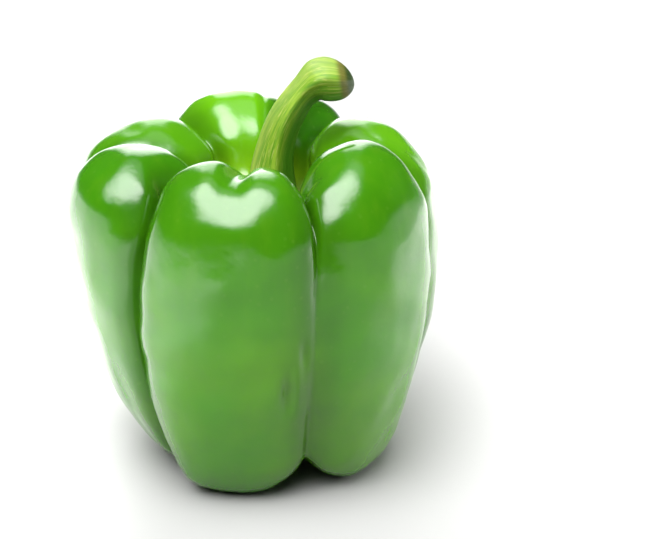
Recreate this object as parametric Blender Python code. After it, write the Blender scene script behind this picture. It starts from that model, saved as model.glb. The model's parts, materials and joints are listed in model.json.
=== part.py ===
"""A green bell pepper standing on its feet, as three solids: the fruit, its calyx and its stem.

Lengths are in millimetres until an object is built, and then in metres. Angles are in degrees,
anticlockwise from +X seen from above. The pepper's front faces -Y and its stem leans to +X.
"""

from collections import namedtuple
from math import radians

import bmesh
import bpy
import numpy as np

MM = 0.001

# The fruit's profile as (radius, height) control points of a cubic B-spline: the floor of the stem well,
# the shoulder, the side, the foot, and the hollow at the blossom end.
PROFILE = (
    (0.0, 70.0), (7.0, 70.0), (13.0, 72.5), (18.0, 83.0),
    (25.0, 92.0), (36.5, 94.0), (45.0, 85.0), (48.0, 71.0),
    (47.5, 56.0), (44.5, 38.0), (39.0, 21.0), (32.0, 6.0),
    (23.0, -2.5), (13.0, 2.0), (6.0, 8.5), (0.0, 9.0),
)
REST_HEIGHT = 2.9  # the profile height at which the feet are flattened by the pepper's own weight

# Places along the profile, from 0 at the floor of the well to 1 at the blossom end.
RIM, WAIST, FOOT = 0.30, 0.62, 0.80
RIM_SPREAD, WAIST_SPREAD, FOOT_SPREAD = 0.17, 0.16, 0.12
WELL_END = 0.36  # the well stands off the fruit's axis down to here
WELL_OFFSET = 4.0  # along +X
POLE_BLEND = 0.1

# A crease runs between two lobes. Its angle is given at the rim, the middle and the foot, and its depth
# at each of these places along the profile.
CREASE_TURNS = (0.35, 0.58, 0.80)
CREASE_STATIONS = (0.0, 0.13, 0.31, 0.45, 0.58, 0.70, 0.80, 0.88, 0.95, 1.0)
CREASE_ROUND = 0.8
Crease = namedtuple("Crease", "angles depths")

# A lobe lies anticlockwise of its crease. fullness is the exponent of its superelliptic section. The rest
# are millimetres that the lobe adds to the profile: upwards at the rim and the foot, outwards elsewhere.
Lobe = namedtuple("Lobe", "crease fullness rim_rise rim_reach waist_reach foot_reach foot_lift")
LOBES = (
    Lobe(Crease((291, 288, 291), (0, 4.0, 9.5, 7.0, 1.8, 5.0, 14.0, 10.0, 4.0, 0)), 1.7, -0.8, 0.2, 3.2, 6.0, 3.0),
    Lobe(Crease((343, 342, 349), (0, 4.0, 9.5, 4.5, 2.5, 1.5, 1.0, 1.0, 1.0, 0)), 2.0, -4.3, -2.8, 0.5, 0.0, 5.0),
    Lobe(Crease((412, 406, 402), (0, 4.0, 9.0, 6.0, 3.0, 3.5, 8.0, 6.5, 3.0, 0)), 2.0, -5.0, 0.0, 0.0, 0.0, 3.2),
    Lobe(Crease((437, 438, 438), (0, 3.0, 3.2, 1.8, 0.8, 0.5, 0.5, 0.5, 0.5, 0)), 2.3, -3.6, 0.0, 0.0, 0.0, 3.2),
    Lobe(Crease((483, 486, 488), (0, 4.0, 8.5, 5.5, 3.5, 3.5, 8.0, 6.5, 3.0, 0)), 2.2, -4.5, -3.0, 0.0, -1.0, 5.0),
    Lobe(Crease((540, 536, 530), (0, 4.0, 8.0, 4.5, 2.0, 1.5, 1.0, 1.0, 1.0, 0)), 2.2, -3.7, -0.8, -1.6, -3.5, 3.0),
    Lobe(Crease((585, 589, 585), (0, 4.0, 8.5, 8.0, 6.0, 5.0, 8.0, 6.5, 3.0, 0)), 2.4, -2.0, 0.0, 2.5, 5.0, 3.0),
)
LOBE_BLEND = 0.3  # how far into a lobe its own shape gives way to its neighbour's
SIDE_BLEND = 0.35  # the same for the depths of a lobe's two creases
FOOT_CREASE_REACH = 0.4  # how much of a crease's inward pull is left at the foot, where it mostly rises

# Shallow dips in the rim: where they are, how far they spread, and how deep they go.
Dent = namedtuple("Dent", "angle station angle_spread station_spread depth")
DENTS = (
    Dent(263.0, 0.30, 6.0, 0.075, 3.6),
    Dent(90.0, 0.30, 4.5, 0.07, 1.2),
)

FRUIT_COLUMNS_PER_LOBE = 9
FRUIT_RINGS = 44

# The calyx hugs the floor of the well, and its sepals point up the well's wall.
SEPALS = 6
CALYX_EDGE = 0.105  # the place along the fruit's profile between two sepals
SEPAL_LENGTH = 0.042  # how much further along it a sepal's tip reaches
SEPAL_POINT = 2.5  # a larger value gives a narrower sepal
CALYX_GAP = 0.5
CALYX_THICKNESS, SEPAL_THICKNESS = 1.5, 0.8
CALYX_COLUMNS, CALYX_RINGS = 48, 12

# The stem's centre line and radius, as (x, height, radius) control points of a cubic B-spline.
STEM = (
    (4.0, 72.7, 5.6), (3.8, 79.0, 5.0), (4.8, 86.0, 4.4), (7.7, 94.0, 3.95),
    (12.3, 99.3, 3.5), (17.2, 102.8, 5.9), (24.6, 102.0, 4.6),
)
STEM_STEPS = 26

SKIN_GREEN = (0.09, 0.34, 0.015)
CALYX_GREEN = (0.30, 0.45, 0.06)
STEM_GREEN = (0.34, 0.46, 0.09)


def bspline(values, at):
    """A cubic B-spline through the first and last of these values and near the others, at 0 to 1."""
    values = np.asarray(values, float)
    first = 2 * values[0] - values[1]
    last = 2 * values[-1] - values[-2]
    values = np.concatenate([[first], values, [last]])
    spans = len(values) - 3
    place = np.clip(at, 0.0, 1.0) * spans
    i = np.minimum(place.astype(int), spans - 1)
    f = place - i
    weights = (
        (1 - f) ** 3 / 6,
        (3 * f**3 - 6 * f**2 + 4) / 6,
        (-3 * f**3 + 3 * f**2 + 3 * f + 1) / 6,
        f**3 / 6,
    )
    return sum(weight * values[i + k] for k, weight in enumerate(weights))


def ease(x):
    """0 to 1 with a level start and end."""
    x = np.clip(x, 0.0, 1.0)
    return x * x * (3 - 2 * x)


def eased_between(stations, values, at):
    """The values at these stations, eased from each to the next."""
    stations = np.asarray(stations, float)
    values = np.asarray(values, float)
    i = np.clip(np.searchsorted(stations, at, side="right") - 1, 0, len(stations) - 2)
    f = ease((at - stations[i]) / (stations[i + 1] - stations[i]))
    return values[i] * (1 - f) + values[i + 1] * f


def bell(at, centre, spread):
    return np.exp(-(((at - centre) / spread) ** 2))


def superellipse_depth(x, exponent):
    """How far a superellipse of unit size has fallen below its top at x, from 0 to 1."""
    return 1 - (1 - x**exponent) ** (1 / exponent)


def profile_at(s):
    """Radius, height and outward normal of the profile at s."""
    radius, height = (bspline(column, s) for column in zip(*PROFILE))
    step = 1e-4
    low, high = np.clip(s - step, 0, 1), np.clip(s + step, 0, 1)
    d_radius, d_height = (bspline(column, high) - bspline(column, low) for column in zip(*PROFILE))
    length = np.hypot(d_radius, d_height)
    return radius, height, -d_height / length, d_radius / length


def crease_angle(k, s):
    """The angle of crease k, counting on past the last one into the next turn."""
    turns, k = divmod(k, len(LOBES))
    return eased_between(CREASE_TURNS, LOBES[k].crease.angles, np.clip(s, 0.35, 0.80)) + 360 * turns


def lobe_share(lobe, t, name):
    """A lobe's own value of this name, eased into its neighbours' at both creases."""
    values = np.array([getattr(item, name) for item in LOBES], float)
    own = values[lobe]
    before = values[lobe - 1]
    after = values[(lobe + 1) % len(LOBES)]
    share = own + (before - own) / 2 * (1 - ease(t / LOBE_BLEND))
    return share + (after - own) / 2 * (1 - ease((1 - t) / LOBE_BLEND))


def crease_depth(lobe, t, s, radius, width):
    """How far the skin lies inside the profile, across a lobe from crease to crease."""
    depths = np.array([eased_between(CREASE_STATIONS, item.crease.depths, s) for item in LOBES])
    places = np.arange(len(s))
    behind, ahead = depths[lobe, places], depths[(lobe + 1) % len(LOBES), places]
    x = 2 * t - 1
    side = ease((x + SIDE_BLEND) / (2 * SIDE_BLEND))
    half = np.maximum(radius, 2.5) * np.radians(width) / 2
    from_crease = np.hypot((1 - np.abs(x)) * half, CREASE_ROUND)
    across = np.clip(1 - from_crease / half, 0, 1)
    edge = np.clip(1 - CREASE_ROUND / half, 0.05, 1)
    exponent = np.array([item.fullness for item in LOBES])[lobe]
    fall = superellipse_depth(across, exponent) / superellipse_depth(edge, exponent)
    return fall * (behind * (1 - side) + ahead * side)


def skin(turn, s, creasing=1.0):
    """Points of the fruit's skin, or without its creases where creasing is 0.

    turn counts lobes round the axis, and s runs down the profile.
    """
    turn = turn % len(LOBES)
    lobe = np.minimum(turn.astype(int), len(LOBES) - 1)
    t = turn - lobe
    starts = np.array([crease_angle(k, s) for k in range(len(LOBES) + 1)])
    places = np.arange(len(s))
    start, end = starts[lobe, places], starts[lobe + 1, places]
    angle = start + (end - start) * t
    radius, height, out, up = profile_at(s)
    depth = crease_depth(lobe, t, s, radius, end - start)
    for dent in DENTS:
        off = (angle - dent.angle + 180) % 360 - 180
        depth = depth + dent.depth * bell(off, 0, dent.angle_spread) * bell(s, dent.station, dent.station_spread)
    ends = ease(s / POLE_BLEND) * ease((1 - s) / POLE_BLEND)
    rim = bell(s, RIM, RIM_SPREAD) * ends
    waist = bell(s, WAIST, WAIST_SPREAD) * ends
    foot = bell(s, FOOT, FOOT_SPREAD) * ends
    depth = depth * creasing
    radius = radius - depth * out * (1 - (1 - FOOT_CREASE_REACH) * foot)
    radius += lobe_share(lobe, t, "rim_reach") * rim
    radius += lobe_share(lobe, t, "waist_reach") * waist
    radius += lobe_share(lobe, t, "foot_reach") * foot
    height = height - depth * up - REST_HEIGHT
    height += lobe_share(lobe, t, "rim_rise") * rim
    height += lobe_share(lobe, t, "foot_lift") * foot
    x = radius * np.cos(np.radians(angle)) + WELL_OFFSET * (1 - ease(s / WELL_END))
    y = radius * np.sin(np.radians(angle))
    return np.stack([x, y, height], axis=-1)


def smooth_normal(turn, s):
    """Unit outward normals of the skin without its creases, from its two tangents."""
    step = 1e-3
    s = np.clip(s, 4 * step, 1 - 4 * step)
    round_axis = skin(turn + step, s, 0.0) - skin(turn - step, s, 0.0)
    downwards = skin(turn, s + step, 0.0) - skin(turn, s - step, 0.0)
    normal = np.cross(downwards, round_axis)
    return normal / np.linalg.norm(normal, axis=-1, keepdims=True)


def material(name, colour, roughness):
    made = bpy.data.materials.new(name)
    made.use_nodes = True
    shader = made.node_tree.nodes["Principled BSDF"]
    shader.inputs["Base Color"].default_value = (*colour, 1.0)
    shader.inputs["Roughness"].default_value = roughness
    shader.inputs["Metallic"].default_value = 0.0
    return made


def new_sphere(columns, rings):
    """A unit sphere, with each vertex's place round it (0 to 1) and down it (0 to 1)."""
    bm = bmesh.new()
    bmesh.ops.create_uvsphere(bm, u_segments=columns, v_segments=rings, radius=1.0)
    points = np.array([vertex.co for vertex in bm.verts], float)
    turn = np.arctan2(points[:, 1], points[:, 0]) / (2 * np.pi) % 1.0
    down = np.arctan2(np.hypot(points[:, 0], points[:, 1]), points[:, 2]) / np.pi
    return bm, turn, down


def reshape(bm, points):
    """Moves each vertex to its point, given in millimetres."""
    for vertex, point in zip(bm.verts, points):
        vertex.co = point * MM


def add_mesh(name, bm, collection, finish):
    """Turns the bmesh into a smooth-shaded object of this name."""
    mesh = bpy.data.meshes.new(name)
    bm.to_mesh(mesh)
    bm.free()
    mesh.shade_smooth()
    mesh.set_sharp_from_angle(angle=radians(50))
    mesh.materials.append(finish)
    piece = bpy.data.objects.new(name, mesh)
    collection.objects.link(piece)
    return piece


def flatten_feet(bm):
    """Cuts the fruit off level at height 0 and closes each foot with one flat face."""
    everything = bm.verts[:] + bm.edges[:] + bm.faces[:]
    bmesh.ops.bisect_plane(
        bm, geom=everything, plane_co=(0, 0, 0), plane_no=(0, 0, -1), dist=1e-7, clear_outer=True
    )
    rims = [edge for edge in bm.edges if edge.is_boundary]
    bmesh.ops.holes_fill(bm, edges=rims, sides=0)
    bmesh.ops.recalc_face_normals(bm, faces=bm.faces[:])


def add_fruit(collection):
    bm, turn, down = new_sphere(FRUIT_COLUMNS_PER_LOBE * len(LOBES), FRUIT_RINGS)
    reshape(bm, skin(turn * len(LOBES), down))
    flatten_feet(bm)
    return add_mesh("fruit", bm, collection, material("fruit_skin", SKIN_GREEN, 0.25))


def add_calyx(collection):
    """A thin star whose two faces follow the floor of the well."""
    bm, turn, down = new_sphere(CALYX_COLUMNS, CALYX_RINGS)
    from_centre = 1 - np.abs(2 * down - 1)
    sepal = ((1 + np.cos(2 * np.pi * SEPALS * turn)) / 2) ** SEPAL_POINT
    s = from_centre * (CALYX_EDGE + SEPAL_LENGTH * sepal)
    thickness = CALYX_THICKNESS + (SEPAL_THICKNESS - CALYX_THICKNESS) * ease(from_centre)
    lift = CALYX_GAP + np.where(down < 0.5, thickness * np.sqrt(1 - from_centre**4), 0.0)
    around = turn * len(LOBES)
    reshape(bm, skin(around, s, 0.0) + smooth_normal(around, s) * lift[:, None])
    return add_mesh("calyx", bm, collection, material("calyx_skin", CALYX_GREEN, 0.6))


def add_stem(collection):
    """A tube along the stem's centre line, with a flared end where it was cut."""
    places = np.linspace(0.0, 1.0, STEM_STEPS)
    x, height, radius = (bspline(column, places) for column in zip(*STEM))
    curve = bpy.data.curves.new("stem", "CURVE")
    curve.dimensions = "3D"
    curve.bevel_depth = MM
    curve.bevel_resolution = 4
    curve.use_fill_caps = True
    spline = curve.splines.new("POLY")
    spline.points.add(STEM_STEPS - 1)
    for i, point in enumerate(spline.points):
        point.co = (x[i] * MM, 0.0, (height[i] - REST_HEIGHT) * MM, 1.0)
        point.radius = radius[i]
    spline.use_smooth = True
    curve.materials.append(material("stem_skin", STEM_GREEN, 0.6))
    piece = bpy.data.objects.new("stem", curve)
    collection.objects.link(piece)
    return piece


def centre_over_origin(pieces, fruit, collection):
    """Parents the pieces to an empty that puts the middle of the fruit's box over the origin."""
    corners = np.array([vertex.co for vertex in fruit.data.vertices])
    middle = (corners.min(axis=0) + corners.max(axis=0)) / 2
    base = bpy.data.objects.new("pepper_base", None)
    base.location = (-middle[0], -middle[1], 0.0)
    collection.objects.link(base)
    for piece in pieces:
        piece.parent = base


def main():
    for old in list(bpy.data.objects):
        bpy.data.objects.remove(old, do_unlink=True)
    collection = bpy.data.collections.new("bell_pepper")
    bpy.context.scene.collection.children.link(collection)
    fruit = add_fruit(collection)
    centre_over_origin((fruit, add_calyx(collection), add_stem(collection)), fruit, collection)


if __name__ == "__main__":
    main()
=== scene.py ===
"""Looks for a green bell pepper: fine skin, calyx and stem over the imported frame, in a pale studio.

The pepper's lengths are in millimetres until its meshes are built, and the studio's are in metres. Angles are
in degrees, anticlockwise from +X seen from above. The pepper's front faces -Y and its stem leans to +X.
"""

import json
from collections import namedtuple
from math import radians

import bpy
import numpy as np
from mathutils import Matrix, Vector, noise

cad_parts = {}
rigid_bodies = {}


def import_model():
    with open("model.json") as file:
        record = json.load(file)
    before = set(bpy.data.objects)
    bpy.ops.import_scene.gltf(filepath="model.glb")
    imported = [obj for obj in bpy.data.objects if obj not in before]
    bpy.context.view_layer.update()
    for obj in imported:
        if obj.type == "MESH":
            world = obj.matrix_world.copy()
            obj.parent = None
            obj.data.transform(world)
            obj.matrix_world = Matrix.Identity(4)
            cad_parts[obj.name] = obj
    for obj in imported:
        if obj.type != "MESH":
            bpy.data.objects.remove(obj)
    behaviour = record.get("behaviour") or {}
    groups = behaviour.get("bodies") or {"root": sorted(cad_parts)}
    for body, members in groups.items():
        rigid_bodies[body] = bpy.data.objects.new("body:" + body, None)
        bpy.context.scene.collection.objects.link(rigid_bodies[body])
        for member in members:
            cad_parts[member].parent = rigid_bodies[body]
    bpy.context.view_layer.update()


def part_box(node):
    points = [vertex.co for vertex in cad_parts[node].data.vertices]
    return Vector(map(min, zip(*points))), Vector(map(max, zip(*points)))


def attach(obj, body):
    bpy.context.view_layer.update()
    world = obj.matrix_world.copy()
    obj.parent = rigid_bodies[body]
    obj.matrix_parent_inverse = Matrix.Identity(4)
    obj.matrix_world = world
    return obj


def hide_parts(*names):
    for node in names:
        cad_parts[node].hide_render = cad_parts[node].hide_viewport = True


MM = 0.001

# ---------------------------------------------------------------- the fruit's shape

# The shape follows the CAD part's formulas, with fuller lobes, tighter crests and narrower creases.

# The profile as (radius, height) control points of a cubic B-spline: the floor of the stem well,
# the shoulder, the side, the foot, and the hollow at the blossom end.
PROFILE = (
    (0.0, 70.0), (7.0, 70.0), (14.5, 71.5), (18.5, 81.5),
    (23.5, 91.5), (35.5, 94.2), (45.5, 85.5), (48.0, 71.0),
    (47.5, 56.0), (44.5, 38.0), (39.0, 21.0), (32.0, 6.0),
    (23.0, -2.5), (13.0, 2.0), (6.0, 8.5), (0.0, 9.0),
)
REST_HEIGHT = 2.9  # how far everything is lowered, so that the tips of the feet stand on the table

# Places along the profile, from 0 at the floor of the well to 1 at the blossom end, and how far the lobes'
# own reach and rise spread along it from there.
WALL, RIM, SHOULDER, WAIST, FOOT = 0.225, 0.30, 0.42, 0.62, 0.80
WALL_SPREAD, RIM_SPREAD, CREST_SPREAD = 0.045, 0.17, 0.035
SHOULDER_SPREAD, WAIST_SPREAD, FOOT_SPREAD = 0.06, 0.16, 0.12
POLE_BLEND = 0.1

# The well lies this far to +X of the fruit's axis, and the offset ends here along the profile.
WELL_OFFSET = 4.0
WELL_END = 0.36

# A crease runs between two lobes. Its angle is given at four places along the profile, its depth at eleven.
# Angles past 360 go on into the next turn.
CREASE_TURNS = (0.30, 0.40, 0.58, 0.80)
CREASE_STATIONS = (0.0, 0.13, 0.31, 0.38, 0.45, 0.58, 0.70, 0.80, 0.88, 0.95, 1.0)
CREASE_ROUND = 0.8
FOOT_CREASE_REACH = 0.4  # how much of a crease's depth is still inwards at the feet
Crease = namedtuple("Crease", "angles depths")

# A lobe lies anticlockwise of its crease. Fullness is the exponent of the superellipse across it, crest, rise
# and lift are upwards, and the reaches are outwards, except at the wall of the well, which reaches in.
# The last value makes the lobe's upper part paler, partly its own paler tone and partly painted light, and
# where it is negative it darkens it with painted shade.
Lobe = namedtuple(
    "Lobe",
    "crease fullness wall_reach crest rim_rise rim_reach "
    "shoulder_reach waist_reach foot_reach foot_lift paleness",
)
LOBES = (
    # The front right lobe.
    Lobe(
        crease=Crease((291, 290, 287.5, 291), (0, 4.0, 11.5, 7.5, 4.0, 1.8, 5.0, 14.0, 10.0, 4.0, 0)),
        fullness=2.0, wall_reach=1.5, crest=0.3, rim_rise=-1.1, rim_reach=0.2,
        shoulder_reach=0.6, waist_reach=3.2, foot_reach=6.0, foot_lift=3.0, paleness=0.2,
    ),
    # The right lobe.
    Lobe(
        crease=Crease((350, 345, 342, 349), (0, 4.0, 9.5, 7.0, 4.5, 2.5, 1.5, 1.0, 1.0, 1.0, 0)),
        fullness=2.0, wall_reach=2.4, crest=0.3, rim_rise=-4.6, rim_reach=-3.6,
        shoulder_reach=0.6, waist_reach=1.0, foot_reach=0.0, foot_lift=5.0, paleness=0.75,
    ),
    # The back right lobe, whose upper part is darkened with painted shade.
    Lobe(
        crease=Crease((412, 410, 406, 402), (0, 4.0, 9.0, 7.5, 6.0, 3.0, 3.5, 8.0, 6.5, 3.0, 0)),
        fullness=2.0, wall_reach=2.4, crest=0.0, rim_rise=-5.0, rim_reach=0.0,
        shoulder_reach=0.0, waist_reach=0.0, foot_reach=0.0, foot_lift=3.2, paleness=-0.4,
    ),
    # The back lobe.
    Lobe(
        crease=Crease((437, 437, 438, 438), (0, 3.0, 2.4, 2.0, 1.6, 0.8, 0.5, 0.5, 0.5, 0.5, 0)),
        fullness=2.9, wall_reach=1.8, crest=0.6, rim_rise=-3.6, rim_reach=0.0,
        shoulder_reach=0.0, waist_reach=0.0, foot_reach=0.0, foot_lift=3.2, paleness=1.0,
    ),
    # The back left lobe.
    Lobe(
        crease=Crease((483, 484, 486, 488), (0, 4.0, 8.5, 7.0, 5.5, 3.5, 3.5, 8.0, 6.5, 3.0, 0)),
        fullness=2.2, wall_reach=2.6, crest=0.9, rim_rise=-5.2, rim_reach=-3.0,
        shoulder_reach=1.5, waist_reach=0.0, foot_reach=-1.0, foot_lift=5.0, paleness=0.5,
    ),
    # The left lobe.
    Lobe(
        crease=Crease((540, 539, 536, 530), (0, 4.0, 8.0, 6.3, 4.5, 2.0, 1.5, 1.0, 1.0, 1.0, 0)),
        fullness=2.8, wall_reach=1.0, crest=-0.3, rim_rise=-3.4, rim_reach=-0.8,
        shoulder_reach=1.8, waist_reach=-1.0, foot_reach=-3.0, foot_lift=3.0, paleness=0.1,
    ),
    # The front lobe.
    Lobe(
        crease=Crease((587, 590, 588, 586), (0, 4.0, 10.5, 7.5, 5.5, 4.5, 5.0, 8.0, 6.5, 3.0, 0)),
        fullness=3.3, wall_reach=1.5, crest=0.0, rim_rise=-2.0, rim_reach=0.0,
        shoulder_reach=0.0, waist_reach=2.5, foot_reach=5.0, foot_lift=3.0, paleness=0.25,
    ),
)
LOBE_BLEND = 0.3  # over this share of its width, a lobe's values ease into its neighbour's
SIDE_BLEND = 0.35  # the depths of a lobe's two creases blend within this share of the way from its middle
LEAST_RADIUS, LEAST_EDGE = 2.5, 0.05  # these keep a lobe's curve sound near the poles, where it is narrow

# Hollows in the skin, or bumps where the depth is negative: two dips in the front lobe's crest, one in the
# back lobe's, the flattened side of the left lobe, and a dimple low on the front lobe.
Dent = namedtuple("Dent", "angle station angle_spread station_spread depth")
DENTS = (
    Dent(263.0, 0.3, 6.0, 0.075, 3.6),
    Dent(274.0, 0.3, 7.0, 0.06, 0.8),
    Dent(85.5, 0.3, 2.0, 0.05, 0.5),
    Dent(225.0, 0.42, 12.0, 0.07, 3.0),
    Dent(279.5, 0.61, 1.9, 0.022, 1.7),
    Dent(282.2, 0.597, 1.5, 0.028, -0.6),
    Dent(284.0, 0.565, 1.3, 0.014, 0.8),
)

# A narrow groove along the bottom of a crease: which crease, where it starts and ends, how deep and how wide.
Groove = namedtuple("Groove", "crease start end depth width")
GROOVES = (
    Groove(0, 0.27, 0.49, 3.5, 0.8),
    Groove(6, 0.3, 0.66, 1.6, 0.9),
)
GROOVE_FADE_IN, GROOVE_FADE_OUT = 0.05, 0.10

# Lumps in the skin, each as its size, how many times longer it is downwards, and its height. They fade out
# over these lengths at the well and at the blossom end.
Swell = namedtuple("Swell", "size stretch height")
SWELLS = (
    Swell(22.0, 2.5, 0.7), Swell(8.5, 1.0, 0.42), Swell(5.0, 3.0, 0.14), Swell(3.0, 1.0, 0.035),
)
CALM_WELL, CALM_END = 0.25, 0.10

FRUIT_COLUMNS_PER_LOBE = 56
CREASE_CROWDING = 0.7  # how much closer together the columns stand at a crease
FRUIT_RINGS = 240

# Where the skin changes colour along the profile, each as a start and a length: yellower in the well, paler
# low down with painted light that stands in for light bounced from the floor, and where the lobes' pale tone
# and painted light fade. Then how wide the darker skin along a crease is, partly its own colour and partly
# painted shade, as a share of the lobe's width.
WELL_FADE = (0.05, 0.20)
LOW_PAINTED_BOUNCE_FADE = (0.38, 0.22)
PALE_FADE = (0.42, 0.20)
PALE_LOSS = 0.8  # how much of a lobe's pale tone and painted light is lost below the shoulder
CREASE_SHADE_SPREAD = 0.16

# ---------------------------------------------------------------- the calyx's and the stem's shape

SEPALS = 6
CALYX_EDGE = 0.105  # how far the calyx reaches along the profile between two sepals
SEPAL_LENGTH = 0.042
SEPAL_POINT = 2.5
CALYX_GAP = 0.2
CALYX_THICKNESS, SEPAL_THICKNESS = 1.7, 0.8
COLLAR_HEIGHT, COLLAR_START, COLLAR_FADE = 2.2, 0.45, 0.25
CALYX_COLUMNS, CALYX_RINGS = 288, 60

# The stem's centre line and radius, as (x, height, radius) control points of a cubic B-spline.
STEM = (
    (4.0, 72.7, 6.2), (4.2, 79.0, 5.3), (5.2, 85.0, 4.4), (7.2, 91.0, 4.2),
    (10.0, 95.8, 3.9), (13.0, 99.6, 3.5), (15.8, 101.7, 4.6), (18.6, 101.6, 4.7),
)
STEM_LIP = (0.74, 0.15, 0.9)  # where the lip on the outer side starts, the length it takes and its height
STEM_SLANT = (0.80, 0.20, 0.2)  # where the cut starts to slant, the length it takes and its slope
STEM_COLUMNS, STEM_RINGS, STEM_END_RINGS = 120, 220, 24
STEM_RIBS = 5
STEM_RIB_HEIGHT = 0.085  # as a share of the radius
STEM_FINE_RIBS = 0.3  # the height of twice as many ribs, as a share of the main ones'
STEM_TWIST = 40.0
STEM_END_BULGE = 6.6


# ---------------------------------------------------------------- curves and blends


def bspline(values, at):
    """A cubic B-spline through the first and last of these values and near the others, at 0 to 1."""
    values = np.asarray(values, float)
    first = 2 * values[0] - values[1]
    last = 2 * values[-1] - values[-2]
    values = np.concatenate([[first], values, [last]])
    spans = len(values) - 3
    place = np.clip(at, 0.0, 1.0) * spans
    i = np.minimum(place.astype(int), spans - 1)
    f = place - i
    weights = (
        (1 - f) ** 3 / 6,
        (3 * f**3 - 6 * f**2 + 4) / 6,
        (-3 * f**3 + 3 * f**2 + 3 * f + 1) / 6,
        f**3 / 6,
    )
    return sum(weight * values[i + k] for k, weight in enumerate(weights))


def ease(x):
    """0 to 1 with a level start and end."""
    x = np.clip(x, 0.0, 1.0)
    return x * x * (3 - 2 * x)


def eased_between(stations, values, at):
    """The values at these stations, eased from each to the next."""
    stations = np.asarray(stations, float)
    values = np.asarray(values, float)
    i = np.clip(np.searchsorted(stations, at, side="right") - 1, 0, len(stations) - 2)
    f = ease((at - stations[i]) / (stations[i + 1] - stations[i]))
    return values[i] * (1 - f) + values[i + 1] * f


def fade_in(at, fade):
    """0 to 1 over a fade, given as its start and its length."""
    start, length = fade
    return ease((at - start) / length)


def bell(at, centre, spread):
    return np.exp(-(((at - centre) / spread) ** 2))


def angle_between(angle, other):
    """The signed difference, from -180 to 180."""
    return (angle - other + 180) % 360 - 180


def superellipse_depth(x, exponent):
    """How far a superellipse of unit size has fallen below its top at x, from 0 to 1."""
    return 1 - (1 - x**exponent) ** (1 / exponent)


def lumps(points, size):
    """Smooth noise between about -1 and 1 at these points, with lumps of this size."""
    return np.array([noise.noise(Vector(point)) for point in points / size])


# ---------------------------------------------------------------- the skin as a formula


def profile_at(s):
    """Radius, height and outward normal of the profile at s."""
    radius, height = (bspline(column, s) for column in zip(*PROFILE))
    step = 1e-4
    low, high = np.clip(s - step, 0, 1), np.clip(s + step, 0, 1)
    d_radius, d_height = (bspline(column, high) - bspline(column, low) for column in zip(*PROFILE))
    length = np.hypot(d_radius, d_height)
    return radius, height, -d_height / length, d_radius / length


def crease_angle(k, s):
    """The angle of crease k, counting on past the last one into the next turn."""
    turns, k = divmod(k, len(LOBES))
    s = np.clip(s, CREASE_TURNS[0], CREASE_TURNS[-1])
    return eased_between(CREASE_TURNS, LOBES[k].crease.angles, s) + 360 * turns


def lobe_share(lobe, t, name):
    """A lobe's own value of this name, eased into its neighbours' at both creases."""
    values = np.array([getattr(item, name) for item in LOBES], float)
    own = values[lobe]
    before = values[lobe - 1]
    after = values[(lobe + 1) % len(LOBES)]
    share = own + (before - own) / 2 * (1 - ease(t / LOBE_BLEND))
    return share + (after - own) / 2 * (1 - ease((1 - t) / LOBE_BLEND))


def crease_depth(lobe, t, s, radius, width):
    """How far the skin lies inside the profile, across a lobe from crease to crease."""
    depths = np.array([eased_between(CREASE_STATIONS, item.crease.depths, s) for item in LOBES])
    places = np.arange(len(s))
    behind, ahead = depths[lobe, places], depths[(lobe + 1) % len(LOBES), places]
    x = 2 * t - 1
    side = ease((x + SIDE_BLEND) / (2 * SIDE_BLEND))
    half = np.maximum(radius, LEAST_RADIUS) * np.radians(width) / 2
    from_crease = np.hypot((1 - np.abs(x)) * half, CREASE_ROUND)
    across = np.clip(1 - from_crease / half, 0, 1)
    edge = np.clip(1 - CREASE_ROUND / half, LEAST_EDGE, 1)
    exponent = np.array([item.fullness for item in LOBES])[lobe]
    fall = superellipse_depth(across, exponent) / superellipse_depth(edge, exponent)
    return fall * (behind * (1 - side) + ahead * side)


def dent_depth(angle, s):
    total = 0.0
    for dent in DENTS:
        across = bell(angle_between(angle, dent.angle), 0, dent.angle_spread)
        total = total + dent.depth * across * bell(s, dent.station, dent.station_spread)
    return total


def groove_depth(angle, s, starts, radius):
    total = 0.0
    for groove in GROOVES:
        off = angle_between(angle, starts[groove.crease]) * np.radians(radius)
        extent = ease((s - groove.start) / GROOVE_FADE_IN) * ease((groove.end - s) / GROOVE_FADE_OUT)
        total = total + groove.depth * bell(off, 0, groove.width) * extent
    return total


def skin(turn, s, creasing=1.0):
    """Points of the fruit's skin, or without its creases where creasing is 0.

    turn counts lobes round the axis, and s runs down the profile.
    """
    turn = turn % len(LOBES)
    lobe = np.minimum(turn.astype(int), len(LOBES) - 1)
    t = turn - lobe
    starts = np.array([crease_angle(k, s) for k in range(len(LOBES) + 1)])
    places = np.arange(len(s))
    start, end = starts[lobe, places], starts[lobe + 1, places]
    angle = start + (end - start) * t

    def share(name):
        return lobe_share(lobe, t, name)

    radius, height, out, up = profile_at(s)
    depth = crease_depth(lobe, t, s, radius, end - start)
    depth = (depth + dent_depth(angle, s) + groove_depth(angle, s, starts, radius)) * creasing
    ends = ease(s / POLE_BLEND) * ease((1 - s) / POLE_BLEND)
    rim = bell(s, RIM, RIM_SPREAD) * ends
    waist = bell(s, WAIST, WAIST_SPREAD) * ends
    foot = bell(s, FOOT, FOOT_SPREAD) * ends
    radius = radius - depth * out * (1 - (1 - FOOT_CREASE_REACH) * foot)
    radius -= share("wall_reach") * bell(s, WALL, WALL_SPREAD)
    radius += share("rim_reach") * rim
    radius += share("shoulder_reach") * bell(s, SHOULDER, SHOULDER_SPREAD)
    radius += share("waist_reach") * waist
    radius += share("foot_reach") * foot
    height = height - depth * up - REST_HEIGHT
    height += share("rim_rise") * rim
    height += share("crest") * bell(s, RIM, CREST_SPREAD)
    height += share("foot_lift") * foot
    x = radius * np.cos(np.radians(angle)) + WELL_OFFSET * (1 - ease(s / WELL_END))
    y = radius * np.sin(np.radians(angle))
    return np.stack([x, y, height], axis=-1)


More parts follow.
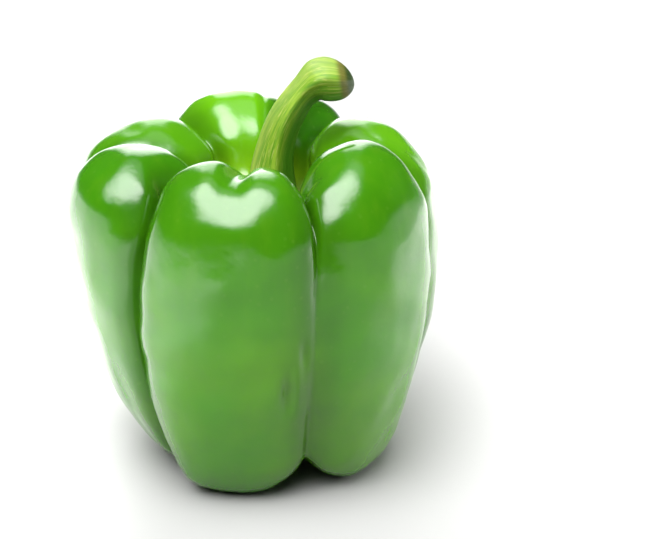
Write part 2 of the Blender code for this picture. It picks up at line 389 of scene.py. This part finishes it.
def smooth_normal(turn, s, creasing=0.0):
    """Unit outward normals of the skin, from its two tangents."""
    step = 1e-3
    s = np.clip(s, 4 * step, 1 - 4 * step)
    round_axis = skin(turn + step, s, creasing) - skin(turn - step, s, creasing)
    downwards = skin(turn, s + step, creasing) - skin(turn, s - step, creasing)
    normal = np.cross(downwards, round_axis)
    return normal / np.linalg.norm(normal, axis=-1, keepdims=True)


# ---------------------------------------------------------------- meshes


def capped_grid(columns, rings):
    """Each vertex's place round the axis and along it, both 0 to 1, and the faces of a closed grid.

    The first and last vertices are the poles.
    """
    turn, down = np.meshgrid(np.arange(columns) / columns, np.arange(1, rings) / rings)
    turn = np.concatenate([[0.0], turn.ravel(), [0.0]])
    down = np.concatenate([[0.0], down.ravel(), [1.0]])
    last = len(turn) - 1
    bottom = 1 + (rings - 2) * columns
    faces = []
    for column in range(columns):
        after = (column + 1) % columns
        faces.append((0, 1 + column, 1 + after))
        for ring in range(rings - 2):
            upper, lower = 1 + ring * columns, 1 + (ring + 1) * columns
            faces.append((upper + column, lower + column, lower + after, upper + after))
        faces.append((bottom + column, last, bottom + after))
    return turn, down, faces


def add_piece(name, points, faces, finish, node, attributes):
    """A smooth mesh piece that stands for a CAD node and rides with it.

    Each attribute is a label and its values, one number or one vector a point.
    """
    mesh = bpy.data.meshes.new(name)
    mesh.from_pydata(points * MM, [], faces)
    mesh.shade_smooth()
    for label, values in attributes:
        values = np.asarray(values, np.float32)
        kind, field = ("FLOAT_VECTOR", "vector") if values.ndim > 1 else ("FLOAT", "value")
        mesh.attributes.new(label, kind, "POINT").data.foreach_set(field, values.ravel())
    mesh.materials.append(finish)
    mesh.update()
    piece = bpy.data.objects.new(name, mesh)
    bpy.context.scene.collection.objects.link(piece)
    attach(piece, "root")
    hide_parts(node)
    return piece


def centre_of_frame():
    """The middle of the CAD fruit seen from above, in millimetres."""
    low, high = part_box("fruit")
    return np.array((low + high) / 2)[:2] / MM


def relief(points, down):
    """The height of the lumps in the skin."""
    heights = sum(swell.height * lumps(points / (1, 1, swell.stretch), swell.size) for swell in SWELLS)
    return heights * ease(down / CALM_WELL) * ease((1 - down) / CALM_END)


def fruit_shades(around, down):
    """Where the skin is creased, in the well, pale and low, for its material; the crease, pale and low values
    also carry painted shade and painted light.
    """
    place = around % 1
    lobe = np.minimum(around.astype(int), len(LOBES) - 1)
    return (
        ("crease", bell(np.minimum(place, 1 - place), 0, CREASE_SHADE_SPREAD)),
        ("well", 1 - fade_in(down, WELL_FADE)),
        ("pale", lobe_share(lobe, place, "paleness") * (1 - PALE_LOSS * fade_in(down, PALE_FADE))),
        ("low", fade_in(down, LOW_PAINTED_BOUNCE_FADE)),
    )


def add_fruit(finish):
    """The lobed skin. Returns how far it was moved sideways to sit over the CAD fruit."""
    turn, down, faces = capped_grid(FRUIT_COLUMNS_PER_LOBE * len(LOBES), FRUIT_RINGS)
    around = turn * len(LOBES)
    around -= CREASE_CROWDING * np.sin(2 * np.pi * around) / (2 * np.pi)
    points = skin(around, down)
    points = points + smooth_normal(around, down, 1.0) * relief(points, down)[:, None]
    points[:, 2] = np.maximum(points[:, 2], 0)
    home = centre_of_frame() - (points.min(axis=0) + points.max(axis=0))[:2] / 2
    points[:, :2] += home
    fruit = add_piece("pepper_skin", points, faces, finish, "fruit", fruit_shades(around, down))
    return home


def add_calyx(finish, home):
    """A star of joined sepals that hugs the floor of the well and rises to a collar round the stem."""
    turn, down, faces = capped_grid(CALYX_COLUMNS, CALYX_RINGS)
    from_centre = 1 - np.abs(2 * down - 1)
    sepal = ((1 + np.cos(2 * np.pi * SEPALS * turn)) / 2) ** SEPAL_POINT
    s = from_centre * (CALYX_EDGE + SEPAL_LENGTH * sepal)
    thickness = CALYX_THICKNESS + (SEPAL_THICKNESS - CALYX_THICKNESS) * ease(from_centre)
    collar = COLLAR_HEIGHT * (1 - ease((from_centre - COLLAR_START) / COLLAR_FADE))
    upper = (thickness + collar) * np.sqrt(np.clip(1 - from_centre**4, 0, 1))
    lift = CALYX_GAP + np.where(down < 0.5, upper, 0.0)
    around = turn * len(LOBES)
    points = skin(around, s, 0.0) + smooth_normal(around, s) * lift[:, None]
    points[:, :2] += home
    calyx = add_piece("pepper_calyx", points, faces, finish, "calyx", (("tip", from_centre * sepal),))


def stem_line(along):
    """The stem's centre line at these places, from 0 to 1: x, height, radius and direction."""
    x, height, radius = (bspline(column, along) for column in zip(*STEM))
    step = 1e-3
    low, high = np.clip(along - step, 0, 1), np.clip(along + step, 0, 1)
    dx, dz = (bspline(column, high) - bspline(column, low) for column in list(zip(*STEM))[:2])
    pace = np.hypot(dx, dz)
    return x, height - REST_HEIGHT, radius, dx / pace, dz / pace


def stem_faces(rings):
    """The tube's faces, where the tip and the middle of the base are the last two vertices."""
    tip, base = rings * STEM_COLUMNS, rings * STEM_COLUMNS + 1
    top = (rings - 1) * STEM_COLUMNS
    faces = []
    for column in range(STEM_COLUMNS):
        after = (column + 1) % STEM_COLUMNS
        for ring in range(rings - 1):
            lower, upper = ring * STEM_COLUMNS, (ring + 1) * STEM_COLUMNS
            faces.append((lower + column, lower + after, upper + after, upper + column))
        faces.append((top + column, top + after, tip))
        faces.append((column, base, after))
    return faces


def add_stem(finish, home):
    """A ribbed tube along the stem's centre line, with a lip and a domed end where it was cut."""
    ends = np.linspace(0.0, 1.0, STEM_END_RINGS + 1)[1:-1] * np.pi / 2
    along = np.concatenate([np.linspace(0.0, 1.0, STEM_RINGS), np.ones(len(ends))])
    shrink = np.concatenate([np.ones(STEM_RINGS), np.cos(ends)])
    bulge = np.concatenate([np.zeros(STEM_RINGS), np.sin(ends)]) * STEM_END_BULGE
    x, height, radius, tx, tz = stem_line(along)
    columns = np.arange(STEM_COLUMNS) / STEM_COLUMNS * 2 * np.pi
    angle, ring = np.meshgrid(columns, np.arange(len(along)))
    rib_angle = STEM_RIBS * (angle + radians(STEM_TWIST) * along[ring])
    rib = np.cos(rib_angle) + STEM_FINE_RIBS * np.cos(2 * rib_angle)
    lip = STEM_LIP[2] * fade_in(along, STEM_LIP[:2])[ring] * (1 - np.cos(angle)) / 2
    size = (radius[ring] + lip) * shrink[ring] * (1 + STEM_RIB_HEIGHT * rib * shrink[ring])
    side, across = size * np.cos(angle), size * np.sin(angle)
    ahead = bulge[ring] + STEM_SLANT[2] * side * fade_in(along, STEM_SLANT[:2])[ring]
    px = x[ring] + side * tz[ring] + ahead * tx[ring]
    pz = height[ring] - side * tx[ring] + ahead * tz[ring]
    points = np.stack([px, across, pz], axis=-1).reshape(-1, 3)
    grain = np.stack([np.cos(angle), np.sin(angle), along[ring]], axis=-1).reshape(-1, 3)
    tip = (x[-1] + tx[-1] * STEM_END_BULGE, 0.0, height[-1] + tz[-1] * STEM_END_BULGE)
    base = (x[0], 0.0, height[0])
    points = np.concatenate([points, [tip, base]])
    points[:, :2] += home
    attributes = (
        ("grain", np.concatenate([grain, [[0, 0, 1.0], [0, 0, 0]]])),
        ("cut", np.concatenate([np.repeat(1 - shrink**3, STEM_COLUMNS), [1.0, 0.0]])),
    )
    stem = add_piece("pepper_stem", points, stem_faces(len(along)), finish, "stem", attributes)


# ---------------------------------------------------------------- materials

SKIN_DARK, SKIN_GREEN = (0.0125, 0.090, 0.0008), (0.020, 0.115, 0.0012)
# Paler skin low down, mottled: painted light that stands in for light bounced from the floor.
SKIN_LOW_PAINTED_BOUNCE_DARK, SKIN_LOW_PAINTED_BOUNCE = (0.044, 0.190, 0.0035), (0.066, 0.218, 0.0035)
SKIN_STREAK = (0.045, 0.13, 0.003)
# A paler tone for the lobes' upper parts, partly their own tone and partly painted light, and painted shade
# for a darkened lobe.
SKIN_PALE_AND_PAINTED_LIGHT, SKIN_PAINTED_SHADE = (0.075, 0.250, 0.0025), (0.008, 0.035, 0.001)
# Darker skin along the creases, partly its own colour and partly painted shade.
SKIN_CREASE_AND_PAINTED_SHADE = (0.010, 0.045, 0.001)
SKIN_WELL = (0.16, 0.28, 0.006)
SKIN_PORE = (0.10, 0.20, 0.03)

CALYX_DARK, CALYX_LIGHT = (0.11, 0.19, 0.02), (0.17, 0.24, 0.045)
SEPAL_TIP = (0.20, 0.12, 0.04)

STEM_DARK, STEM_LIGHT = (0.070, 0.190, 0.003), (0.18, 0.29, 0.018)
STEM_LINE = (0.36, 0.36, 0.10)
# Painted shade for the side the stem bends to, and painted light for its other side.
STEM_PAINTED_SHADE_SIDE, STEM_PAINTED_LIGHT_SIDE = (0.022, 0.105, 0.002), (0.26, 0.32, 0.09)
STEM_CUT_EDGE, STEM_CUT = (0.075, 0.060, 0.010), (0.015, 0.035, 0.004)
STEM_GRAIN = (6.5, 6.5, 2.6)

# The table top turns from white at its left to grey between these two places, along a line turned by this;
# the white is painted light, as if a pool of light lay on the table's left.
TABLE_PAINTED_LIGHT, TABLE_GREY = (0.84, 0.84, 0.835), (0.315, 0.315, 0.311)
TABLE_PAINTED_LIGHT_END, TABLE_GREY_START = -0.105, -0.01
TABLE_TURN = 8.0


class Finish:
    """A material and short ways to add and join its nodes."""

    def __init__(self, name, roughness, ior):
        self.material = bpy.data.materials.new(name)
        self.material.use_nodes = True
        self.tree = self.material.node_tree
        self.shader = self.tree.nodes["Principled BSDF"]
        self.shader.inputs["Roughness"].default_value = roughness
        self.shader.inputs["IOR"].default_value = ior

    def add(self, kind, **settings):
        node = self.tree.nodes.new(kind)
        for key, value in settings.items():
            setattr(node, key, value)
        return node

    def join(self, source, target):
        self.tree.links.new(source, target)

    def mapped(self, vector, scale=(1, 1, 1), turn=0.0):
        """A vector stretched by these factors, then turned by this angle about Z."""
        mapping = self.add("ShaderNodeMapping")
        mapping.inputs["Scale"].default_value = scale
        mapping.inputs["Rotation"].default_value = (0, 0, radians(turn))
        self.join(vector, mapping.inputs["Vector"])
        return mapping.outputs["Vector"]

    def place(self):
        """The point on the object, in metres."""
        return self.add("ShaderNodeTexCoord").outputs["Object"]

    def attribute(self, name, output="Fac"):
        return self.add("ShaderNodeAttribute", attribute_name=name).outputs[output]

    def along_x(self, vector):
        split = self.add("ShaderNodeSeparateXYZ")
        self.join(vector, split.inputs["Vector"])
        return split.outputs["X"]

    def noise(self, vector, scale, detail=2.0, roughness=0.5):
        node = self.add("ShaderNodeTexNoise")
        node.inputs["Scale"].default_value = scale
        node.inputs["Detail"].default_value = detail
        node.inputs["Roughness"].default_value = roughness
        self.join(vector, node.inputs["Vector"])
        return node.outputs["Fac"]

    def cells(self, vector, scale):
        """The distance to the middle of the nearest cell."""
        node = self.add("ShaderNodeTexVoronoi")
        node.inputs["Scale"].default_value = scale
        self.join(vector, node.inputs["Vector"])
        return node.outputs["Distance"]

    def remap(self, value, low, high, to_low=0.0, to_high=1.0):
        node = self.add("ShaderNodeMapRange", interpolation_type="SMOOTHSTEP")
        node.inputs["From Min"].default_value = low
        node.inputs["From Max"].default_value = high
        node.inputs["To Min"].default_value = to_low
        node.inputs["To Max"].default_value = to_high
        self.join(value, node.inputs["Value"])
        return node.outputs["Result"]

    def mix(self, factor, first, second):
        """Blends two colours, each given as a colour or as an output."""
        node = self.add("ShaderNodeMix", data_type="RGBA")
        self.join(factor, node.inputs["Factor"])
        for socket, colour in ((node.inputs[6], first), (node.inputs[7], second)):
            if isinstance(colour, tuple):
                socket.default_value = (*colour, 1.0)
            else:
                self.join(colour, socket)
        return node.outputs[2]

    def bump(self, height, strength, distance, under=None):
        node = self.add("ShaderNodeBump")
        node.inputs["Strength"].default_value = strength
        node.inputs["Distance"].default_value = distance
        self.join(height, node.inputs["Height"])
        if under is not None:
            self.join(under, node.inputs["Normal"])
        return node.outputs["Normal"]

    def colour(self, output):
        self.join(output, self.shader.inputs["Base Color"])

    def normal(self, output):
        self.join(output, self.shader.inputs["Normal"])


def fruit_finish():
    """Waxy skin: mottled green, yellower in the well, paler low down with painted light, paler on top partly
    with painted light, darker along the creases partly with painted shade, finely pebbled and with pores.
    """
    made = Finish("fruit_skin_looks", roughness=0.155, ior=1.52)
    place = made.place()
    pale = made.attribute("pale")
    patches = made.remap(made.noise(place, scale=38.0, detail=3.0), 0.35, 0.68)
    streaks = made.noise(made.mapped(place, (1, 1, 0.2)), scale=260.0, detail=3.0)
    pores = made.cells(place, scale=330.0)
    colour = made.mix(patches, SKIN_DARK, SKIN_GREEN)
    colour = made.mix(made.remap(streaks, 0.45, 0.75, to_high=0.3), colour, SKIN_STREAK)
    # Painted light: the lobes' upper parts paler, partly their own tone; below, painted shade where the value
    # is negative.
    colour = made.mix(pale, colour, SKIN_PALE_AND_PAINTED_LIGHT)
    colour = made.mix(made.remap(pale, -0.6, 0.0, to_low=0.8, to_high=0.0), colour, SKIN_PAINTED_SHADE)
    # Painted light: paler skin low down, standing in for light bounced from the floor.
    colour = made.mix(made.attribute("low"), colour, made.mix(patches, SKIN_LOW_PAINTED_BOUNCE_DARK, SKIN_LOW_PAINTED_BOUNCE))
    # Darker along the creases: partly the skin's own colour, partly painted shade.
    colour = made.mix(made.remap(made.attribute("crease"), 0.0, 1.0, to_high=0.4), colour, SKIN_CREASE_AND_PAINTED_SHADE)
    colour = made.mix(made.attribute("well"), colour, SKIN_WELL)
    colour = made.mix(made.remap(pores, 0.04, 0.22, to_low=0.12, to_high=0.0), colour, SKIN_PORE)
    made.colour(colour)
    fine = made.bump(made.noise(place, scale=900.0), strength=0.05, distance=0.0004)
    made.normal(made.bump(made.noise(place, scale=210.0), strength=0.12, distance=0.0008, under=fine))
    return made.material


def calyx_finish():
    """Dull leafy tissue, mottled yellow-green, with dry brown sepal tips."""
    made = Finish("calyx_skin_looks", roughness=0.6, ior=1.4)
    place = made.place()
    patches = made.remap(made.noise(place, scale=300.0, detail=3.0), 0.35, 0.7)
    colour = made.mix(patches, CALYX_DARK, CALYX_LIGHT)
    colour = made.mix(made.remap(made.attribute("tip"), 0.75, 1.0), colour, SEPAL_TIP)
    made.colour(colour)
    made.normal(made.bump(made.noise(place, scale=700.0, detail=3.0), strength=0.3, distance=0.0004))
    return made.material


def stem_finish():
    """Long green and pale streaks, with painted shade on the side it bends to and painted light on the other
    side, and brown to dark green at the cut.
    """
    made = Finish("stem_skin_looks", roughness=0.5, ior=1.4)
    grain = made.attribute("grain", "Vector")
    painted_light_and_shade_side = made.along_x(grain)
    cut = made.attribute("cut")
    stretched = made.mapped(grain, STEM_GRAIN)
    streaks = made.noise(stretched, scale=1.6, detail=4.0, roughness=0.6)
    lines = made.noise(stretched, scale=3.4)
    colour = made.mix(made.remap(streaks, 0.35, 0.65), STEM_DARK, STEM_LIGHT)
    colour = made.mix(made.remap(lines, 0.58, 0.68, to_high=0.75), colour, STEM_LINE)
    # Painted shade on the side the stem bends to, and a painted lit band on the other side.
    colour = made.mix(made.remap(painted_light_and_shade_side, 0.05, 0.75, to_high=0.88), colour, STEM_PAINTED_SHADE_SIDE)
    colour = made.mix(made.remap(painted_light_and_shade_side, -0.4, -1.0, to_high=0.3), colour, STEM_PAINTED_LIGHT_SIDE)
    colour = made.mix(made.remap(cut, 0.15, 0.45, to_high=0.85), colour, STEM_CUT_EDGE)
    colour = made.mix(made.remap(cut, 0.50, 0.85), colour, STEM_CUT)
    made.colour(colour)
    made.normal(made.bump(streaks, strength=0.35, distance=0.0006))
    return made.material


def floor_finish():
    """A pale, dull table top with painted light: it turns whiter towards the left."""
    made = Finish("floor_looks", roughness=0.9, ior=1.45)
    made.shader.inputs["Specular IOR Level"].default_value = 0.0
    across = made.along_x(made.mapped(made.place(), turn=TABLE_TURN))
    # Painted light: the table is whiter towards its left, as if a pool of light lay there.
    painted_light_share = made.remap(across, TABLE_PAINTED_LIGHT_END, TABLE_GREY_START, to_low=1.0, to_high=0.0)
    made.colour(made.mix(painted_light_share, TABLE_GREY, TABLE_PAINTED_LIGHT))
    return made.material


# ---------------------------------------------------------------- the studio

CAMERA_ELEVATION = 22.0
CAMERA_DISTANCE = 0.56
CAMERA_LENS, CAMERA_SENSOR = 119.2, 36.0
TARGET_HEIGHT = 0.0421
AIM_RIGHT, AIM_UP = 0.0189, 0.0060

FLOOR_FRONT, FLOOR_SIDE, FLOOR_BACK = 1.5, 2.5, 3.0

# The room shows only in reflections and as light. Each ramp runs from low to high along X, Y or Z of the
# direction that is looked in, while its value goes from start to end.
Ramp = namedtuple("Ramp", "low high start end")
STRIP_LEFT, STRIP_RIGHT = Ramp(-0.3, -0.14, 0.0, 1.0), Ramp(0.12, 0.3, 1.0, 0.0)
STRIP_BEHIND = Ramp(0.15, 0.4, 0.0, 1.0)
STRIP_HEIGHT = Ramp(0.66, 0.86, 4.0, 0.1)
OVERHEAD = Ramp(0.86, 0.98, 0.05, 1.5)
LOW_WALL = Ramp(-0.02, 0.08, 1.0, 0.04)

# The window is a round patch that brightens from its edge to its core, both as cosines of the angle from
# its middle.
WINDOW_TOWARDS = (-0.20, -0.38, 0.90)
WINDOW = Ramp(0.81, 0.965, 0.05, 13.0)

Lamp = namedtuple("Lamp", "name place aim size radiance spread")
LAMPS = (
    Lamp("right_fill", (1.2, 0.3, 0.24), (0.0, 0.0, 0.05), 0.95, 8.0, 180.0),
    Lamp("back_light", (-0.45, 1.0, 0.8), (0.0, 0.0, 0.05), 0.95, 3.0, 180.0),
    Lamp("left_floor_lamp", (-0.26, 0.0, 0.35), (-0.26, 0.0, 0.0), 0.3, 1.0, 40.0),
    Lamp("right_floor_lamp", (0.32, 0.14, 0.35), (0.32, 0.14, 0.0), 0.4, 7.0, 36.0),
)


def aimed(place, aim):
    """The rotation that turns a camera or a lamp at one point towards another."""
    return (Vector(aim) - Vector(place)).to_track_quat("-Z", "Y").to_euler()


def add_camera(centre):
    """The pepper stands left of the middle of the picture, seen from a little above."""
    elevation = radians(CAMERA_ELEVATION)
    back = Vector((0, -np.cos(elevation), np.sin(elevation)))
    up = Vector((0, np.sin(elevation), np.cos(elevation)))
    target = Vector((centre[0], centre[1], TARGET_HEIGHT))
    data = bpy.data.cameras.new("camera")
    data.lens = CAMERA_LENS
    data.sensor_width = CAMERA_SENSOR
    camera = bpy.data.objects.new("camera", data)
    camera.location = target + back * CAMERA_DISTANCE
    camera.rotation_euler = aimed(camera.location, target + Vector((AIM_RIGHT, 0, 0)) + up * AIM_UP)
    bpy.context.scene.collection.objects.link(camera)
    bpy.context.scene.camera = camera


def add_floor():
    mesh = bpy.data.meshes.new("floor")
    corners = (
        (-FLOOR_SIDE, -FLOOR_FRONT, 0), (FLOOR_SIDE, -FLOOR_FRONT, 0),
        (FLOOR_SIDE, FLOOR_BACK, 0), (-FLOOR_SIDE, FLOOR_BACK, 0),
    )
    mesh.from_pydata(corners, [], [(0, 1, 2, 3)])
    mesh.materials.append(floor_finish())
    floor = bpy.data.objects.new("floor", mesh)
    bpy.context.scene.collection.objects.link(floor)


def add_lamp(lamp):
    """A square area light that lights surfaces but doesn't show in reflections."""
    data = bpy.data.lights.new(lamp.name, "AREA")
    data.size = lamp.size
    data.spread = radians(lamp.spread)
    data.energy = lamp.radiance * np.pi * lamp.size**2
    light = bpy.data.objects.new(lamp.name, data)
    light.location = lamp.place
    light.rotation_euler = aimed(lamp.place, lamp.aim)
    light.visible_camera = False
    light.visible_glossy = False
    bpy.context.scene.collection.objects.link(light)


class Room:
    """The world around the studio, and short ways to add and join its nodes."""

    def __init__(self, name):
        world = bpy.data.worlds.new(name)
        bpy.context.scene.world = world
        world.use_nodes = True
        self.tree = world.node_tree
        self.background = self.tree.nodes["Background"]
        self.background.inputs["Color"].default_value = (1.0, 1.0, 1.0, 1.0)
        self.direction = self.tree.nodes.new("ShaderNodeTexCoord").outputs["Generated"]

    def ramp(self, value, ramp):
        node = self.tree.nodes.new("ShaderNodeMapRange")
        node.interpolation_type = "SMOOTHSTEP"
        for name, number in zip(("From Min", "From Max", "To Min", "To Max"), ramp):
            node.inputs[name].default_value = number
        self.tree.links.new(value, node.inputs["Value"])
        return node.outputs["Result"]

    def combine(self, operation, first, *others):
        """Several values multiplied, or the largest of them, and so on."""
        for other in others:
            node = self.tree.nodes.new("ShaderNodeMath")
            node.operation = operation
            self.tree.links.new(first, node.inputs[0])
            self.tree.links.new(other, node.inputs[1])
            first = node.outputs["Value"]
        return first

    def towards(self, middle):
        """The cosine of the angle between the direction looked in and this one."""
        node = self.tree.nodes.new("ShaderNodeVectorMath")
        node.operation = "DOT_PRODUCT"
        node.inputs[1].default_value = Vector(middle).normalized()
        self.tree.links.new(self.direction, node.inputs[0])
        return node.outputs["Value"]

    def show(self, strength, backdrop):
        """Sets the room's strength, and that of the plain backdrop which the camera sees instead."""
        path = self.tree.nodes.new("ShaderNodeLightPath")
        node = self.tree.nodes.new("ShaderNodeMix")
        node.data_type = "FLOAT"
        node.inputs[3].default_value = backdrop
        self.tree.links.new(path.outputs["Is Camera Ray"], node.inputs["Factor"])
        self.tree.links.new(strength, node.inputs[2])
        self.tree.links.new(node.outputs[0], self.background.inputs["Strength"])


def add_room():
    """A room with a round window, a bright strip behind the pepper, a soft ceiling and a bright low wall."""
    room = Room("studio")
    split = room.tree.nodes.new("ShaderNodeSeparateXYZ")
    room.tree.links.new(room.direction, split.inputs["Vector"])
    x, y, z = split.outputs
    strip = room.combine(
        "MULTIPLY", room.ramp(x, STRIP_LEFT), room.ramp(x, STRIP_RIGHT),
        room.ramp(y, STRIP_BEHIND), room.ramp(z, STRIP_HEIGHT),
    )
    window = room.ramp(room.towards(WINDOW_TOWARDS), WINDOW)
    room.show(room.combine("MAXIMUM", strip, room.ramp(z, OVERHEAD), room.ramp(z, LOW_WALL), window), 1.0)


def add_studio(centre):
    add_camera(centre)
    add_floor()
    add_room()
    for lamp in LAMPS:
        add_lamp(lamp)
    bpy.context.scene.view_settings.view_transform = "Standard"


for leftover in list(bpy.data.objects):
    bpy.data.objects.remove(leftover, do_unlink=True)
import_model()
offset = add_fruit(fruit_finish())
add_calyx(calyx_finish(), offset)
add_stem(stem_finish(), offset)
add_studio(offset * MM)
